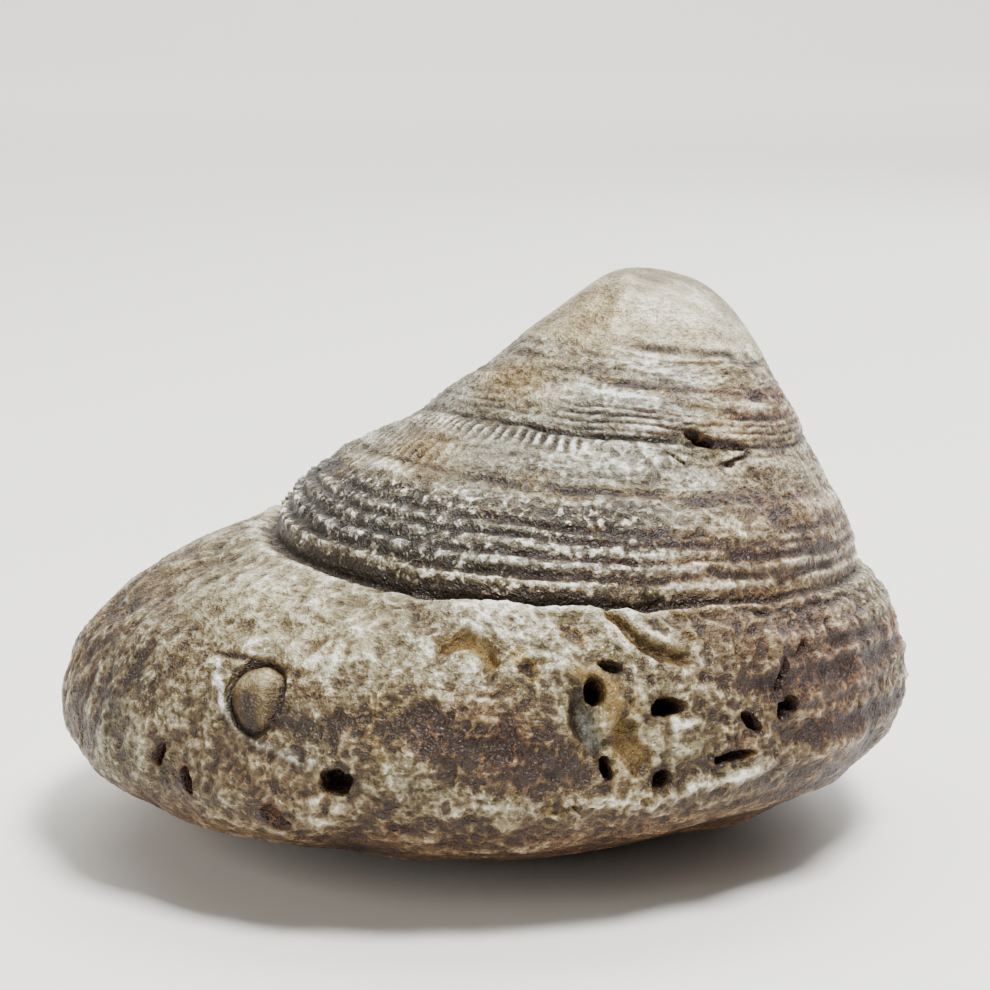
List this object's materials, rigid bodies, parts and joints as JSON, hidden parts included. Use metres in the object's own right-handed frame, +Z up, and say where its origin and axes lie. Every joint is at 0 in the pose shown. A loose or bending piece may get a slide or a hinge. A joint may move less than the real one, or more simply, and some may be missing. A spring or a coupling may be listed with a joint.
{
  "type": "fossil gastropod shell",
  "caption": "Sea-worn fossil gastropod: a solid top-shaped stone shell with a rounded spire, grooved sutures, spiral cords and a bored, pitted body whorl. It rests on a worn flat.",
  "frame": {"origin": "middle of the bounding box in plan, on the plane that the shell rests on", "axes": "+Z up; +X towards the side that the spire leans to; -Y is the side with the borings, seen in the picture"},
  "size_m": [0.0694, 0.0599, 0.0451],
  "materials": {
    "fossil_stone": "sea-polished grey-brown calcite with paler ridges and dark grooves"
  },
  "bodies": {
    "root": {"fossil_shell": "fossil_stone"}
  },
  "joints": []
}
